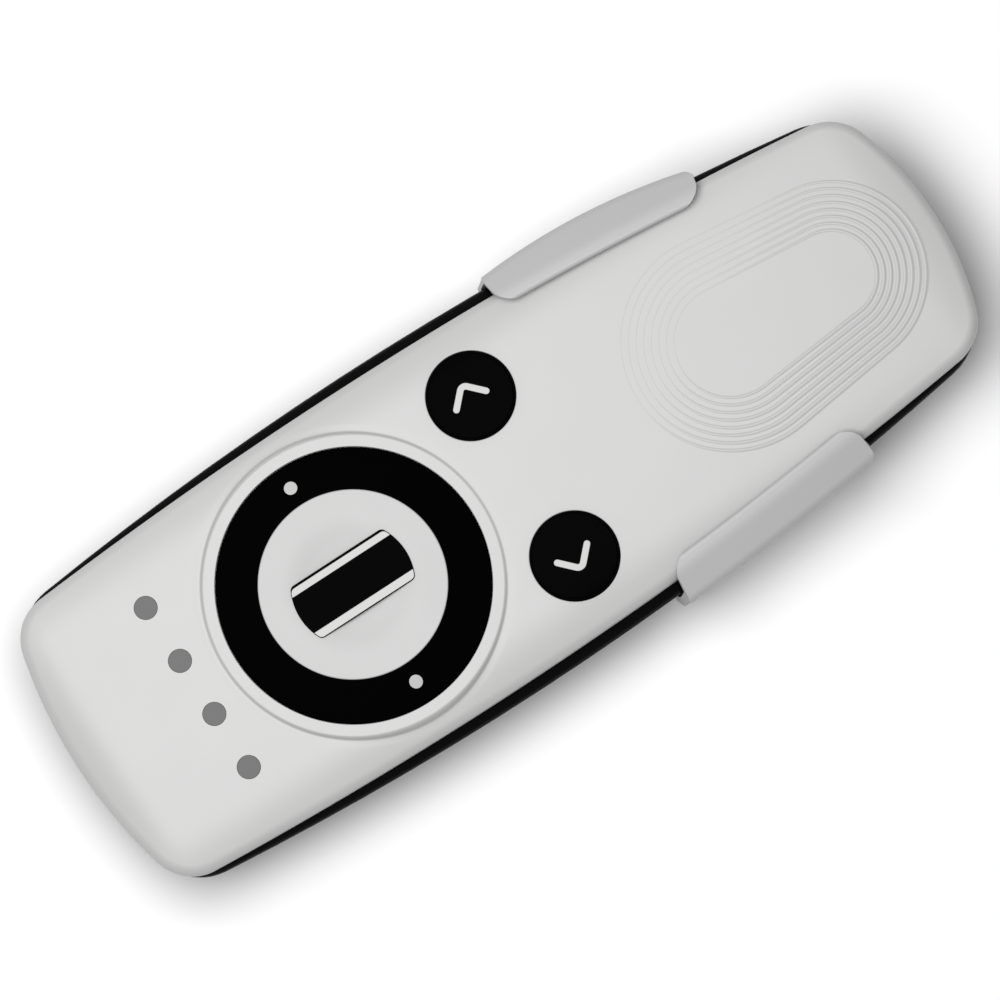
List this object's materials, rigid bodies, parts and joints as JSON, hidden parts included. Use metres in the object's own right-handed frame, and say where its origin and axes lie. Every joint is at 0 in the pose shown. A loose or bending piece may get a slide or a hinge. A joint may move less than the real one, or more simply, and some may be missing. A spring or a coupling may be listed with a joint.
{
  "type": "remote control",
  "caption": "Landscape wireless remote with a round rotary dial, arrow push buttons and status lights, lying in a wall holder whose hooked side arms grip its narrow half.",
  "frame": {"origin": "middle of the remote's length and width, on the back face of the wall holder", "axes": "+X along the remote from the status lights to its narrow end, +Y across it towards the up button, +Z out of its front, away from the wall"},
  "size_m": [0.15, 0.0568, 0.0232],
  "materials": {
    "holder": "fine satin, light grey-white",
    "shell": "fine satin, warm white",
    "housing": "satin black",
    "circuit_board": "solder mask green",
    "encoder_case": "plated",
    "shaft_metal": "turned",
    "dial_black": "semi-gloss black",
    "dial_white": "satin white",
    "bar_black": "semi-gloss black",
    "bright_trim": "satin light grey",
    "button_black": "satin black",
    "plunger": "black",
    "switch_case": "black",
    "light_pipe": "clear, unlit grey",
    "led_case": "clear yellow resin",
    "radio_can": "tinned can",
    "chip_case": "black mould compound",
    "cell_jacket": "plain printed jacket, no text",
    "spring_steel": "nickel plated",
    "contact_metal": "nickel plated",
    "screw_steel": "zinc plated"
  },
  "bodies": {
    "holder": {"wall_holder": "holder"},
    "remote": {"front_shell": "shell", "back_housing": "housing", "main_board": "circuit_board", "rotary_encoder": "encoder_case", "button_switches": "switch_case", "light_pipe": "light_pipe", "status_leds": "led_case", "radio_module": "radio_can", "board_chips": "chip_case", "battery_cells": "cell_jacket", "battery_springs": "spring_steel", "battery_contacts": "contact_metal", "housing_screws": "screw_steel"},
    "dial": {"dial_skirt": "dial_black", "dial_cap": "dial_white", "dial_bar": "bar_black", "dial_trims": "bright_trim", "dial_dots": "bright_trim", "encoder_shaft": "shaft_metal"},
    "up_key": {"up_button": "button_black", "up_chevron": "bright_trim", "up_plunger": "plunger"},
    "down_key": {"down_button": "button_black", "down_chevron": "bright_trim", "down_plunger": "plunger"},
    "door": {"battery_door": "housing"}
  },
  "joints": [
    {"name": "remote_slide", "type": "slide", "parent": "holder", "child": "remote", "axis": [-1, 0, 0], "range_m": [0, 0.066]},
    {"name": "dial_turn", "type": "hinge", "parent": "remote", "child": "dial", "pos_m": [-0.02637, 0, 0.0176], "axis": [0, 0, 1], "continuous": true},
    {"name": "up_press", "type": "slide", "parent": "remote", "child": "up_key", "axis": [0, 0, -1], "range_m": [0, 0.00045], "stiffness_N_per_m": 800, "springref_m": -0.0008},
    {"name": "down_press", "type": "slide", "parent": "remote", "child": "down_key", "axis": [0, 0, -1], "range_m": [0, 0.00045], "stiffness_N_per_m": 800, "springref_m": -0.0008},
    {"name": "door_slide", "type": "slide", "parent": "remote", "child": "door", "axis": [1, 0, 0], "range_m": [0, 0.055]}
  ]
}
